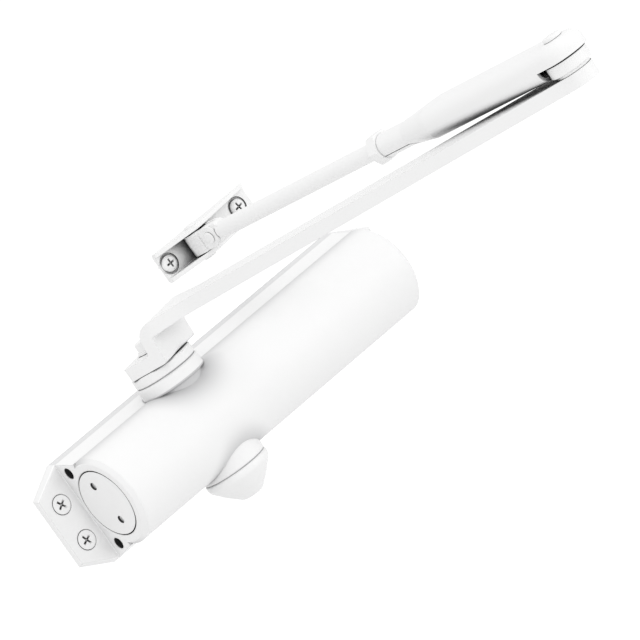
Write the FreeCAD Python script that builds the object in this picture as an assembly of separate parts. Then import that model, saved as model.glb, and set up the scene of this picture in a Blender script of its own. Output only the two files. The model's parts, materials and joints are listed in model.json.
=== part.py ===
import FreeCAD, Part
import math
import os

from FreeCAD import Placement, Rotation, Vector

# Overhead door closer with its arm, in millimetres.
# +X runs along the body to its spring end, -Y faces the front, +Z runs up the spindle.
# The origin is the middle of the four body screws, on the back face.

# Clearances
press_gap = 0.02
running_gap = 0.05
face_gap = 0.3
hole_gap = 0.2
overcut = 1.0
tiny = 1e-6

# Housing
barrel_length = 187.0
barrel_radius = 22.4
barrel_depth = 23.0
barrel_chamfer = 2.0
piston_bore = 16.0
plate_thickness = 5.3
plate_height = 49.5
plate_bevel = 1.1
shelf_width = 12.7
flange_reach = 17.5
flange_tip_height = 33.0
flange_tip_draft = 0.8

# Body screws
screw_setout = 8.5
screw_pitch_z = 19.0
screw_head_radius = 4.6
screw_shank_radius = 2.4
screw_neck_radius = 2.1
screw_neck_past = 0.5
screw_rim = 0.4
screw_reach = 6.7
screw_point = 4.0

# End plugs
plug_radius = 16.7
plug_length = 14.0
plug_gap = 0.12
plug_chamfer = 0.5
plug_sink = 0.2
oring_thickness = 1.6
oring_setback = 3.0
spanner_pitch = 18.6
spanner_hole_radius = 1.9
spanner_hole_depth = 1.5
spanner_tilt = 8.7

# Regulating valves
valve_depth = 11.1
valve_height = 18.8
valve_radius = 2.85
valve_recess = 2.5
valve_head_length = 8.0
valve_slot_width = 0.9
valve_slot_depth = 1.2
valve_needle_radius = 1.4
valve_needle_length = 4.0
valve_point = 2.0
valve_oring_thickness = 0.7
valve_oring_setback = 1.5
valve_port_radius = 1.2
valve_port_length = 8.0

# Spindle and pinion
spindle_from_end = 63.5
spindle_radius = 7.0
spindle_square = 10.0
spindle_corner_radius = 6.8
spindle_sink = 0.4
thrust_radius = 9.0
pinion_teeth = 8
pinion_module = 2.0
pinion_shift = 0.53
pinion_tip_radius = 10.4
pinion_half_face = 11.4
pinion_dedendum = 1.25
pressure_angle = math.radians(20.0)
tooth_backlash = 0.16

# Spindle boss, bearings, cover and cap
boss_radius = 15.75
boss_height = 28.1
boss_chamfer = 0.6
boss_neck_radius = 13.4
collar_bite = 0.8
spigot_radius = 13.6
spigot_length = 3.6
bearing_radius = 11.0
bearing_start = 16.2
bearing_height = 6.0
seal_height = 2.6
cover_radius = 15.4
cover_height = 4.9
cover_neck_radius = 12.6
cover_neck = 2.9
cap_radius = 15.9
cap_ring_height = 3.3
cap_cone_height = 11.2
cap_cone_bulge = 0.6
cap_tip_radius = 5.0
cap_wall = 2.2
lower_square_length = 5.0

# Rack piston
spindle_travel = math.radians(170.0)
window_gap = 0.6
piston_left_head = 12.0
piston_right_head = 14.5
piston_chamfer = 0.8
rack_addendum = 1.0
rack_end_room = 0.4
check_bore_radius = 2.6
check_bore_depth = 8.0
check_port_radius = 1.4
check_ball_radius = 2.3
retainer_length = 1.5
retainer_bore = 1.2

# Main spring
spring_radius = 12.2
spring_wire_radius = 2.3
spring_turns = 8.0
wire_sides = 6

# Main arm
arm_length = 263.5
arm_angle = -67.5
arm_width = 17.0
arm_thickness = 6.4
arm_inner_bend = 1.5
crank_foot_bend = 1.2
crank_head_bend = 7.9
hub_back = 9.0
hub_width = 29.0
hub_corner = 2.5
hub_taper_start = 16.0
hub_taper_length = 18.0
riser_foot = 10.6
riser_head = 11.8
crank_rise = 12.9

# Arm bolt
washer_radius = 6.0
washer_thickness = 1.6
bolt_flats = 10.0
bolt_head_height = 4.2
bolt_radius = 2.95
bolt_length = 12.0
bolt_room = 1.0

# Elbow
elbow_pin_radius = 3.4
elbow_head_radius = 4.4
elbow_head_height = 1.7
elbow_head_gap = 0.15
elbow_foot_radius = 5.2
elbow_foot_height = 1.8
spacer_radius = 10.0
spacer_height = 5.8
spacer_boss_radius = 5.0
spacer_boss_height = 1.6
spacer_neck_radius = 6.0
elbow_gap = 1.7

# Forearm sleeve
sleeve_width = 23.0
sleeve_height = 14.2
sleeve_axis_drop = 7.7
sleeve_sheet = 1.6
sleeve_top_corner = 5.6
sleeve_bottom_corner = 5.2
sleeve_wide_length = 84.0
sleeve_taper_length = 22.0
sleeve_neck_length = 17.0
skirt_gap = 0.2
nose_cut_length = 8.2
spacer_room = 0.5
slot_width = 7.0
slot_depth = 3.8
slot_into_taper = 7.3
seam_width = 0.5
seam_angle = -40.0
seam_length = 24.0
flat_half_angle = 12.0

# Lock nut and rod
nut_flats = 13.0
nut_height = 6.0
nut_gap = 0.1
nut_turn = 30.0
rod_radius = 4.0
rod_inside = 61.0
tongue_length = 15.7
tongue_height = 10.0
tongue_corner = 3.0

# Rod eye
pin_radius = 2.95
eye_wall = 2.6
eye_leg_length = 16.2
eye_leg_corner = 4.2
eye_shoulder = 6.4
eye_step = 1.2
rivet_radius = 1.8
rivet_head_radius = 2.7
rivet_head_height = 0.9
rivet_setback = 11.8

# Frame bracket
pivot_x = 32.3
pivot_depth = 8.0
bracket_left = 20.8
bracket_right = 37.7
bracket_height = 15.2
bracket_base = 2.0
bracket_wall = 2.0
bracket_bend_radius = 1.6
bracket_nose = 6.2
bracket_nose_radius = 6.0
bracket_end_depth = 3.2
bracket_screw_pitch = 46.2
bracket_screw_offset = 6.8
bracket_dimple_radius = 5.0
bracket_dimple_depth = 1.0
pan_head_radius = 3.85
pan_head_height = 2.4
pan_shank_radius = 2.1
pan_neck_radius = 1.8
pan_reach = 4.5
pin_overhang = 1.0

# Places worked out from the sizes above
barrel_end = barrel_length / 2
screw_pitch_x = barrel_length + 2 * screw_setout
spindle_x = spindle_from_end - barrel_end
spindle_at = Vector(spindle_x, -barrel_depth, 0)
cover_top = boss_height + cover_height
cap_start = boss_height - spigot_length
collar_start = barrel_radius - collar_bite
hub_bottom = cover_top + face_gap
hub_top = hub_bottom + arm_thickness
bar_height = hub_bottom + crank_rise
bar_top = bar_height + arm_thickness
spacer_step = bar_top + spacer_boss_height
spacer_shoulder = spacer_step + spacer_height
skirt_end = spacer_shoulder + skirt_gap
sleeve_bottom = bar_top + elbow_gap
sleeve_top = sleeve_bottom + sleeve_height
sleeve_axis_height = sleeve_top - sleeve_axis_drop
sleeve_neck_start = sleeve_wide_length + sleeve_taper_length
sleeve_length = sleeve_neck_start + sleeve_neck_length
bracket_z = sleeve_axis_height
pitch_radius = pinion_module * pinion_teeth / 2
pinion_root = pitch_radius - pinion_module * (pinion_dedendum - pinion_shift)
piston_travel = pitch_radius * spindle_travel
window_reach = pinion_tip_radius + window_gap
window_start = spindle_x - piston_travel - window_reach
window_end = spindle_x + window_reach
piston_start = window_start - piston_left_head
piston_end = window_end + piston_right_head
plug_face = barrel_end - plug_length
arm_place = Placement(spindle_at, Rotation(Vector(0, 0, 1), arm_angle))
elbow_at = arm_place.multVec(Vector(arm_length, 0, 0))
pivot_at = Vector(pivot_x, -pivot_depth, 0)
forearm_span = (pivot_at - elbow_at).Length
forearm_angle = math.degrees(math.atan2(pivot_at.y - elbow_at.y, pivot_at.x - elbow_at.x))
forearm_place = Placement(elbow_at, Rotation(Vector(0, 0, 1), forearm_angle))
eye_radius = pin_radius + running_gap + eye_wall
leg_half = eye_radius - eye_step
along_x = Rotation(Vector(0, 1, 0), 90)


def bar(radius, start, end):
    """Round bar from one point to another."""
    run = end - start
    return Part.makeCylinder(radius, run.Length, start, run)


def block(low, high):
    """Box between two opposite corners."""
    size = high - low
    return Part.makeBox(size.x, size.y, size.z, low)


def turned(outline):
    """Solid turned about Z from an outline of (radius, height) points."""
    corners = [Vector(radius, 0, height) for radius, height in outline]
    face = Part.Face(Part.makePolygon(corners + corners[:1]))
    return face.revolve(Vector(), Vector(0, 0, 1), 360)


def placed(shape, at, rotation=None):
    """The shape turned and moved to a place, on top of any place it has."""
    shape.Placement = Placement(at, rotation or Rotation()).multiply(shape.Placement)
    return shape


def hexagon(across_flats, low, high):
    """Hexagonal prism about Z between two heights."""
    radius = across_flats / math.sqrt(3)
    turns = [math.radians(60 * corner) for corner in range(6)]
    corners = [Vector(radius * math.cos(turn), radius * math.sin(turn), low) for turn in turns]
    return Part.Face(Part.makePolygon(corners + corners[:1])).extrude(Vector(0, 0, high - low))


def polygon(middle, radius, sides):
    """Even-sided outline of (across, up) points about a middle distance."""
    turns = [2 * math.pi * (corner + 0.5) / sides for corner in range(sides)]
    return [(middle + radius * math.cos(turn), radius * math.sin(turn)) for turn in turns]


def seal_ring(radius, half_thickness):
    """Seal ring about Z, with a six-sided section for round rubber."""
    return turned(polygon(radius, half_thickness, 6))


def rounded_wire(corners, radii):
    """Closed outline through corners, each rounded to its own radius."""
    arcs = []
    for place, (corner, radius) in enumerate(zip(corners, radii)):
        back = (corners[place - 1] - corner).normalize()
        ahead = (corners[(place + 1) % len(corners)] - corner).normalize()
        half = back.getAngle(ahead) / 2
        reach = radius / math.tan(half)
        middle = (back + ahead).normalize() * (radius / math.sin(half) - radius)
        arcs.append((corner + back * reach, corner + middle, corner + ahead * reach, radius))
    edges = []
    for place, (start, middle, end, radius) in enumerate(arcs):
        if radius > 0:
            edges.append(Part.Arc(start, middle, end).toShape())
        following = arcs[(place + 1) % len(arcs)][0]
        if (following - end).Length > tiny:
            edges.append(Part.LineSegment(end, following).toShape())
    return Part.Wire(edges)


def rounded_prism(corners, radii, run):
    """Prism of a rounded outline, pushed along run."""
    return Part.Face(rounded_wire(corners, radii)).extrude(run)


def save(name, shape):
    """Write one piece to its own file."""
    solid = shape.removeSplitter()
    solid.exportStep("parts/" + name + ".step")


# Housing
def plate_wire(depth, share):
    """Outline of the back plate at one depth, with all of its bevel at share 1."""
    tip = barrel_end + flange_reach - share * flange_tip_draft
    shoulder = barrel_end + share * plate_bevel / 2
    tip_half = flange_tip_height / 2 + share * plate_bevel
    half = plate_height / 2 + share * plate_bevel
    quarter = [(tip, -tip_half), (tip, tip_half), (shoulder, half), (-shoulder, half)]
    outline = quarter + [(-x, -z) for x, z in quarter]
    corners = [Vector(x, -depth, z) for x, z in outline]
    return Part.makePolygon(corners + corners[:1])


def barrel_solid():
    """Round barrel that runs back to the plate over two sloping shelves."""
    half = plate_height / 2
    crease_depth = plate_thickness + shelf_width
    crease = math.sqrt(barrel_radius ** 2 - (barrel_depth - crease_depth) ** 2)
    left = -barrel_end
    top_back = Vector(left, 0, half)
    top_front = Vector(left, -plate_thickness, half)
    top_crease = Vector(left, -crease_depth, crease)
    low_crease = Vector(left, -crease_depth, -crease)
    low_front = Vector(left, -plate_thickness, -half)
    low_back = Vector(left, 0, -half)
    front = Vector(left, -barrel_depth - barrel_radius, 0)
    runs = [(low_back, top_back), (top_back, top_front), (top_front, top_crease)]
    edges = [Part.LineSegment(start, end).toShape() for start, end in runs]
    edges.append(Part.Arc(top_crease, front, low_crease).toShape())
    runs = [(low_crease, low_front), (low_front, low_back)]
    edges += [Part.LineSegment(start, end).toShape() for start, end in runs]
    barrel = Part.Face(Part.Wire(edges)).extrude(Vector(barrel_length, 0, 0))
    return barrel.cut([rim_waste(-1, crease_depth), rim_waste(1, crease_depth)])


def rim_waste(side, crease_depth):
    """Waste outside the chamfer at one end of the barrel, in front of the shelves."""
    outer = barrel_radius + overcut
    inner = barrel_radius - barrel_chamfer - overcut
    outline = [(inner, -overcut), (outer, -overcut), (outer, barrel_chamfer + overcut)]
    turn = Rotation(Vector(0, 1, 0), -90 * side)
    ring = placed(turned(outline), Vector(side * barrel_end, -barrel_depth, 0), turn)
    front_low = Vector(-barrel_length, -barrel_depth - outer, -outer)
    return ring.common(block(front_low, Vector(barrel_length, -crease_depth, outer)))


def boss_solid():
    """Lower boss with its cap spigot, and upper collar on a neck, in one turned piece."""
    rim = boss_radius - boss_chamfer
    outline = [(0, -boss_height), (spigot_radius, -boss_height), (spigot_radius, -cap_start)]
    outline += [(rim, -cap_start), (boss_radius, -cap_start + boss_chamfer), (boss_radius, 0)]
    outline += [(boss_neck_radius, 0), (boss_neck_radius, collar_start), (rim, collar_start)]
    outline += [(boss_radius, collar_start + boss_chamfer), (boss_radius, boss_height - boss_chamfer)]
    outline += [(rim, boss_height), (0, boss_height)]
    return placed(turned(outline), spindle_at)


def end_bore(side):
    """Plug bore in one end of the barrel, with its chamfered mouth."""
    radius = plug_radius + plug_gap
    mouth = radius + plug_chamfer
    outline = [(0, 0), (radius, 0), (radius, plug_length - plug_chamfer), (mouth, plug_length)]
    outline.append((0, plug_length))
    turn = Rotation(Vector(0, 1, 0), 90 * side)
    return placed(turned(outline), Vector(side * plug_face, -barrel_depth, 0), turn)


def spindle_bore():
    """Bearing bore through both bosses, opened out for the cover."""
    bore = bearing_radius + press_gap
    neck = cover_neck_radius + press_gap
    step = boss_height - cover_neck
    top = boss_height + overcut
    outline = [(0, -top), (bore, -top), (bore, step), (neck, step), (neck, top), (0, top)]
    return placed(turned(outline), spindle_at)


def valve_bore(side):
    """Stepped bore of one regulating valve, with its port into the barrel."""
    bore = valve_radius + running_gap
    needle_room = valve_needle_radius + hole_gap
    seat = valve_recess + valve_head_length + face_gap
    end = seat + valve_needle_length + valve_point + valve_port_length
    outline = [(0, 0), (bore, 0), (bore, seat), (needle_room, seat), (needle_room, end), (0, end)]
    at = Vector(-barrel_end, -valve_depth, side * valve_height)
    port_at = at + Vector(end - 2 * valve_port_radius, 0, 0)
    port_end = Vector(port_at.x, -barrel_depth, 0)
    port = bar(valve_port_radius, port_at, port_end)
    return placed(turned(outline), at, along_x).fuse(port)


def screw_places():
    """The four body screw places on the back face."""
    half_x = screw_pitch_x / 2
    half_z = screw_pitch_z / 2
    return [Vector(x, 0, z) for x in (-half_x, half_x) for z in (-half_z, half_z)]


def countersunk(head_radius, neck_radius, reach):
    """Outline of a countersunk head along Z and its neck, with the top face at zero."""
    neck = -screw_rim - (head_radius - neck_radius)
    outline = [(0, 0), (head_radius, 0), (head_radius, -screw_rim), (neck_radius, neck)]
    return outline + [(neck_radius, -plate_thickness - reach)]


def make_housing():
    """Body with its barrel, plate, bosses and bores."""
    plate = Part.makeLoft([plate_wire(0, 1), plate_wire(plate_thickness, 0)], True, True)
    body = plate.fuse([barrel_solid(), boss_solid()])
    left = Vector(-barrel_end, -barrel_depth, 0)
    right = Vector(barrel_end, -barrel_depth, 0)
    cuts = [bar(piston_bore, left, right), end_bore(-1), end_bore(1), spindle_bore()]
    cuts += [valve_bore(-1), valve_bore(1)]
    to_front = Rotation(Vector(1, 0, 0), 90)
    front = Vector(0, -plate_thickness, 0)
    for at in screw_places():
        hole = countersunk(screw_head_radius + hole_gap, screw_shank_radius + hole_gap, overcut)
        hole.append((0, -plate_thickness - overcut))
        cuts.append(placed(turned(hole), at + front, to_front))
    return body.cut(cuts)


def make_body_screws():
    """Four countersunk screws, flush in the flanges, threaded behind the plate."""
    to_front = Rotation(Vector(1, 0, 0), 90)
    front = Vector(0, -plate_thickness, 0)
    thread_start = -plate_thickness - screw_neck_past
    thread_end = -plate_thickness - screw_reach
    outline = countersunk(screw_head_radius, screw_neck_radius, screw_neck_past)
    outline += [(screw_shank_radius, thread_start), (screw_shank_radius, thread_end)]
    outline.append((0, thread_end - screw_point))
    screws = []
    for at in screw_places():
        screws.append(placed(turned(outline), at + front, to_front))
    return Part.makeCompound(screws)


# End plugs and their seals
def make_plug(side):
    """Screwed end plug with a seal groove and two spanner holes."""
    outer = plug_length - plug_sink
    groove = plug_radius - oring_thickness
    groove_start = oring_setback - oring_thickness / 2
    groove_end = oring_setback + oring_thickness / 2
    rim = plug_radius - plug_chamfer
    outline = [(0, 0), (plug_radius, 0), (plug_radius, groove_start), (groove, groove_start)]
    outline += [(groove, groove_end), (plug_radius, groove_end), (plug_radius, outer - plug_chamfer)]
    outline += [(rim, outer), (0, outer)]
    plug = turned(outline)
    for hand in (-1, 1):
        mouth = Vector(hand * spanner_pitch / 2, 0, outer)
        plug = plug.cut(bar(spanner_hole_radius, mouth - Vector(0, 0, spanner_hole_depth), mouth))
    plug = placed(plug, Vector(), Rotation(Vector(0, 0, 1), spanner_tilt))
    turn = Rotation(Vector(0, 1, 0), 90 * side)
    return placed(plug, Vector(side * plug_face, -barrel_depth, 0), turn)


def make_plug_oring(side):
    """Seal ring in the groove of one end plug."""
    ring = seal_ring(plug_radius - oring_thickness / 2, oring_thickness / 2 - press_gap)
    at = Vector(side * (plug_face + oring_setback), -barrel_depth, 0)
    return placed(ring, at, along_x)


# Regulating valves
def make_valve_screw(side):
    """Slotted regulating screw with a seal groove and a needle."""
    groove = valve_radius - valve_oring_thickness
    groove_end = valve_head_length - valve_oring_setback
    groove_start = groove_end - valve_oring_thickness
    needle_end = valve_head_length + valve_needle_length
    outline = [(0, 0), (valve_radius, 0), (valve_radius, groove_start), (groove, groove_start)]
    outline += [(groove, groove_end), (valve_radius, groove_end), (valve_radius, valve_head_length)]
    outline += [(valve_needle_radius, valve_head_length), (valve_needle_radius, needle_end)]
    outline += [(0, needle_end + valve_point)]
    half_slot = valve_slot_width / 2
    slot_low = Vector(-valve_radius - overcut, -half_slot, -overcut)
    slot_high = Vector(valve_radius + overcut, half_slot, valve_slot_depth)
    screw = turned(outline).cut(block(slot_low, slot_high))
    at = Vector(-barrel_end + valve_recess, -valve_depth, side * valve_height)
    return placed(screw, at, along_x)


def make_valve_oring(side):
    """Seal ring in the groove of one regulating screw."""
    half = valve_oring_thickness / 2
    ring = seal_ring(valve_radius - half, half - press_gap)
    setback = valve_recess + valve_head_length - valve_oring_setback - half
    at = Vector(-barrel_end + setback, -valve_depth, side * valve_height)
    return placed(ring, at, along_x)


# Spindle with its pinion
def involute(angle):
    """Involute function of a pressure angle."""
    return math.tan(angle) - angle


def polar(radius, turn):
    """Point at a radius and a turn, at the foot of the pinion."""
    return Vector(radius * math.cos(turn), radius * math.sin(turn), -pinion_half_face)


def tooth_flank(centre, side):
    """Points of one involute flank from the base circle to the tip."""
    base = pitch_radius * math.cos(pressure_angle)
    half_pitch = math.pi / 2 + 2 * pinion_shift * math.tan(pressure_angle)
    half_base = half_pitch / pinion_teeth + involute(pressure_angle)
    steps = 4
    points = []
    for step in range(steps + 1):
        radius = base + (pinion_tip_radius - base) * step / steps
        opening = math.acos(base / radius)
        points.append(polar(radius, centre + side * (half_base - involute(opening))))
    return points


def curve_through(points):
    """Smooth edge through points."""
    curve = Part.BSplineCurve()
    curve.interpolate(points)
    return curve.toShape()


def pinion_solid():
    """Involute pinion with a tooth gap facing the rack."""
    step = 2 * math.pi / pinion_teeth
    edges = []
    for tooth in range(pinion_teeth):
        centre = -math.pi / 2 + (tooth + 0.5) * step
        rising = tooth_flank(centre, -1)
        falling = tooth_flank(centre, 1)[::-1]
        foot_turn = centre - math.atan2(rising[0].y, rising[0].x)
        root_in = polar(pinion_root, centre - foot_turn)
        root_out = polar(pinion_root, centre + foot_turn)
        next_root = polar(pinion_root, centre + step - foot_turn)
        root_middle = polar(pinion_root, centre + step / 2)
        edges.append(Part.LineSegment(root_in, rising[0]).toShape())
        edges.append(curve_through(rising))
        edges.append(Part.Arc(rising[-1], polar(pinion_tip_radius, centre), falling[0]).toShape())
        edges.append(curve_through(falling))
        edges.append(Part.LineSegment(falling[-1], root_out).toShape())
        edges.append(Part.Arc(root_out, root_middle, next_root).toShape())
    return Part.Face(Part.Wire(edges)).extrude(Vector(0, 0, 2 * pinion_half_face))


def square_end(low, high):
    """Square spindle end with rounded corners."""
    half = spindle_square / 2
    square = block(Vector(-half, -half, low), Vector(half, half, high))
    square = square.common(bar(spindle_corner_radius, Vector(0, 0, low), Vector(0, 0, high)))
    return placed(square, Vector(), Rotation(Vector(0, 0, 1), arm_angle))


def make_spindle():
    """Spindle, pinion and both square ends, drilled for the arm bolt."""
    collar = bearing_start - face_gap
    lower_end = boss_height - cover_neck
    core = pinion_root - running_gap
    outline = [(0, -lower_end), (spindle_radius, -lower_end), (spindle_radius, -collar)]
    outline += [(thrust_radius, -collar), (thrust_radius, -pinion_half_face)]
    outline += [(core, -pinion_half_face), (core, pinion_half_face)]
    outline += [(thrust_radius, pinion_half_face), (thrust_radius, collar), (spindle_radius, collar)]
    outline += [(spindle_radius, hub_bottom), (0, hub_bottom)]
    top = hub_top - spindle_sink
    lower_square = square_end(-lower_end - lower_square_length, -lower_end)
    spindle = turned(outline).fuse([pinion_solid(), square_end(hub_bottom, top), lower_square])
    bolt_end = hub_top + washer_thickness - bolt_length - bolt_room
    hole = bar(bolt_radius + press_gap, Vector(0, 0, bolt_end), Vector(0, 0, top))
    return placed(spindle.cut(hole), spindle_at)


def make_bearing(side):
    """Plain bearing bush on one side of the pinion."""
    inner = spindle_radius + running_gap
    low = bearing_start
    high = bearing_start + bearing_height
    outline = [(inner, side * low), (bearing_radius, side * low), (bearing_radius, side * high)]
    outline += [(inner, side * high)]
    return placed(turned(outline), spindle_at)


def make_seal(side):
    """Lip seal outside one bearing."""
    inner = spindle_radius + running_gap
    low = bearing_start + bearing_height
    high = low + seal_height
    lip = (inner + bearing_radius) / 2
    outline = [(inner, side * low), (bearing_radius, side * low), (bearing_radius, side * high)]
    outline += [(lip, side * high), (inner, side * (low + seal_height / 2))]
    return placed(turned(outline), spindle_at)


def make_bearing_cover():
    """Round cover screwed into the upper boss."""
    inner = spindle_radius + hole_gap
    rim = cover_radius - boss_chamfer
    neck_end = boss_height - cover_neck + press_gap
    outline = [(inner, neck_end), (cover_neck_radius, neck_end), (cover_neck_radius, boss_height)]
    outline += [(rim, boss_height), (cover_radius, boss_height + boss_chamfer)]
    outline += [(cover_radius, cover_top - boss_chamfer), (rim, cover_top), (inner, cover_top)]
    return placed(turned(outline), spindle_at)


def make_bottom_cap():
    """Hollow cone-shaped cap pushed on the spigot of the lower boss."""
    ring_end = cap_start + cap_ring_height
    tip = ring_end + cap_cone_height
    rim = cap_radius - boss_chamfer
    skirt = spigot_radius + press_gap
    room = spigot_radius - cap_wall
    tip_room = cap_tip_radius - cap_wall
    middle = (cap_radius + cap_tip_radius) / 2 + cap_cone_bulge
    outline = [(0, -tip), (cap_tip_radius, -tip), (middle, -(ring_end + tip) / 2)]
    outline += [(cap_radius, -ring_end), (cap_radius, -cap_start - boss_chamfer), (rim, -cap_start)]
    outline += [(skirt, -cap_start), (skirt, -boss_height), (room, -boss_height)]
    outline += [(tip_room, -tip + cap_wall), (0, -tip + cap_wall)]
    return placed(turned(outline), spindle_at)


# Rack piston
def rack_tooth(centre):
    """One straight-sided rack tooth in front of the pinion."""
    reference = pitch_radius + pinion_shift * pinion_module
    tip = reference - rack_addendum * pinion_module
    root = window_reach + face_gap
    half_reference = (math.pi * pinion_module / 2 - tooth_backlash) / 2
    half_tip = half_reference - (reference - tip) * math.tan(pressure_angle)
    half_root = half_reference + (root - reference) * math.tan(pressure_angle)
    outline = [(-half_root, -root), (half_root, -root), (half_tip, -tip), (-half_tip, -tip)]
    corners = [Vector(centre + x, y - barrel_depth, -pinion_half_face) for x, y in outline]
    return Part.Face(Part.makePolygon(corners + corners[:1])).extrude(Vector(0, 0, 2 * pinion_half_face))


def make_piston():
    """Piston with a window for the pinion, a rack along its front and a check valve bore."""
    radius = piston_bore - running_gap
    length = piston_end - piston_start
    outline = [(0, 0), (radius - piston_chamfer, 0), (radius, piston_chamfer)]
    outline += [(radius, length - piston_chamfer), (radius - piston_chamfer, length), (0, length)]
    blank = placed(turned(outline), Vector(piston_start, -barrel_depth, 0), along_x)
    low = Vector(window_start, -barrel_depth - window_reach, -piston_bore)
    high = Vector(window_end, -barrel_depth + window_reach, piston_bore)
    piston = blank.cut(block(low, high))
    pitch = math.pi * pinion_module
    first = math.ceil((window_start - spindle_x) / pitch + rack_end_room)
    last = math.floor((window_end - spindle_x) / pitch - rack_end_room)
    places = [spindle_x + number * pitch for number in range(first, last + 1)]
    teeth = [rack_tooth(place).common(blank) for place in places]
    outline = [(0, -overcut), (check_bore_radius, -overcut), (check_bore_radius, check_bore_depth)]
    seat_end = check_bore_depth + check_bore_radius - check_port_radius
    port_end = piston_left_head + overcut
    outline += [(check_port_radius, seat_end), (check_port_radius, port_end), (0, port_end)]
    check_bore = placed(turned(outline), Vector(piston_start, -barrel_depth, 0), along_x)
    return piston.fuse(teeth).cut(check_bore)


def make_check_ball():
    """Ball on the seat of the check valve."""
    seat_half = (check_bore_radius + press_gap) - check_ball_radius * math.sqrt(2)
    centre = piston_start + check_bore_depth + seat_half
    return Part.makeSphere(check_ball_radius - press_gap, Vector(centre, -barrel_depth, 0))


def make_check_retainer():
    """Ring pressed into the mouth of the check valve."""
    outer = check_bore_radius - press_gap
    outline = [(retainer_bore, 0), (outer, 0), (outer, retainer_length), (retainer_bore, retainer_length)]
    return placed(turned(outline), Vector(piston_start, -barrel_depth, 0), along_x)


# Main spring
def make_spring():
    """Closing spring with ground ends, between the piston and the far plug."""
    length = plug_face - piston_end
    helix = Part.makeHelix(length / spring_turns, length, spring_radius)
    corners = [Vector(x, 0, z) for x, z in polygon(spring_radius, spring_wire_radius, wire_sides)]
    section = Part.makePolygon(corners + corners[:1])
    coil = Part.Wire(helix).makePipeShell([section], True, True)
    ground = bar(spring_radius + 2 * spring_wire_radius, Vector(), Vector(0, 0, length))
    return placed(coil.common(ground), Vector(piston_end, -barrel_depth, 0), along_x)


# Main arm
def strip_wire(path, thickness, inner_bend, outer_bends):
    """Side outline of a strip bent along a path in the XZ plane, with an outer bend at each point."""
    runs = [(end - start).normalize() for start, end in zip(path, path[1:])]
    normals = [Vector(-run.z, 0, run.x) for run in runs]
    upper = []
    lower = []
    upper_radii = []
    lower_radii = []
    for place, point in enumerate(path):
        before = normals[max(place - 1, 0)]
        after = normals[min(place, len(normals) - 1)]
        middle = (before + after).normalize()
        shift = middle * (thickness / 2 / middle.dot(before))
        upper.append(point + shift)
        lower.append(point - shift)
        turn = before.x * after.z - before.z * after.x
        inner_above = turn > 0
        is_bend = abs(turn) > tiny
        outer_bend = outer_bends[place]
        upper_radii.append((inner_bend if inner_above else outer_bend) * is_bend)
        lower_radii.append((outer_bend if inner_above else inner_bend) * is_bend)
    return rounded_wire(lower + upper[::-1], lower_radii + upper_radii[::-1])


def make_main_arm():
    """Flat strip cranked up from its hub to a long bar with a round end."""
    hub_middle = (hub_bottom + hub_top) / 2
    bar_middle = (bar_height + bar_top) / 2
    half = arm_width / 2
    wide = hub_width / 2
    end = arm_length + half
    path = [Vector(-hub_back, -wide, hub_middle), Vector(riser_foot, -wide, hub_middle)]
    path += [Vector(riser_head, -wide, bar_middle), Vector(end, -wide, bar_middle)]
    side_view = strip_wire(path, arm_thickness, arm_inner_bend, [0, crank_foot_bend, crank_head_bend, 0])
    strip = Part.Face(side_view).extrude(Vector(0, hub_width, 0))
    taper_end = hub_taper_start + hub_taper_length
    lower_side = [(-hub_back, -wide), (hub_taper_start, -wide), (taper_end, -half), (end, -half)]
    upper_side = [(x, -y) for x, y in lower_side[::-1]]
    plan = [Vector(x, y, 0) for x, y in lower_side + upper_side]
    radii = [hub_corner, hub_taper_length, hub_taper_length, half]
    arm = strip.common(rounded_prism(plan, radii + radii[::-1], Vector(0, 0, 2 * bar_top)))
    hole = spindle_square / 2 + press_gap
    low = Vector(-hole, -hole, hub_bottom - overcut)
    high = Vector(hole, hole, hub_top + overcut)
    pin_top = bar_top + overcut
    pin_room = turned(pin_foot(press_gap) + [(elbow_pin_radius + press_gap, pin_top), (0, pin_top)])
    arm = arm.cut([block(low, high), placed(pin_room, Vector(arm_length, 0, 0))])
    return placed(arm, arm_place.Base, arm_place.Rotation)


def make_arm_washer():
    """Washer under the head of the arm bolt."""
    inner = bolt_radius + hole_gap
    top = hub_top + washer_thickness
    outline = [(inner, hub_top), (washer_radius, hub_top), (washer_radius, top), (inner, top)]
    return placed(turned(outline), spindle_at)


def make_arm_bolt():
    """Hex bolt that holds the arm on the spindle."""
    low = hub_top + washer_thickness
    shank = bar(bolt_radius, Vector(0, 0, low - bolt_length), Vector(0, 0, low))
    head = hexagon(bolt_flats, low, low + bolt_head_height)
    return placed(shank.fuse(head), spindle_at, Rotation(Vector(0, 0, 1), arm_angle))


# Elbow
def pin_foot(gap):
    """Lower outline of the elbow pin, with its foot spread flush into the arm."""
    foot_end = bar_height + elbow_foot_height
    return [(0, bar_height), (elbow_foot_radius + gap, bar_height), (elbow_pin_radius + gap, foot_end)]


def make_elbow_pin():
    """Rivet through the arm end, the spacer and the sleeve nose."""
    head = sleeve_top + elbow_head_gap
    top = head + elbow_head_height
    outline = pin_foot(0) + [(elbow_pin_radius, head), (elbow_head_radius, head)]
    outline += [(elbow_head_radius, top), (0, top)]
    return placed(turned(outline), elbow_at)


def make_elbow_spacer():
    """Stepped spacer between the arm end and the sleeve nose."""
    inner = elbow_pin_radius + press_gap
    roof = sleeve_top - sleeve_sheet - face_gap
    outline = [(inner, bar_top), (spacer_boss_radius, bar_top), (spacer_boss_radius, spacer_step)]
    outline += [(spacer_radius, spacer_step), (spacer_radius, spacer_shoulder)]
    outline += [(spacer_neck_radius, spacer_shoulder), (spacer_neck_radius, roof), (inner, roof)]
    return placed(turned(outline), elbow_at)


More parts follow.
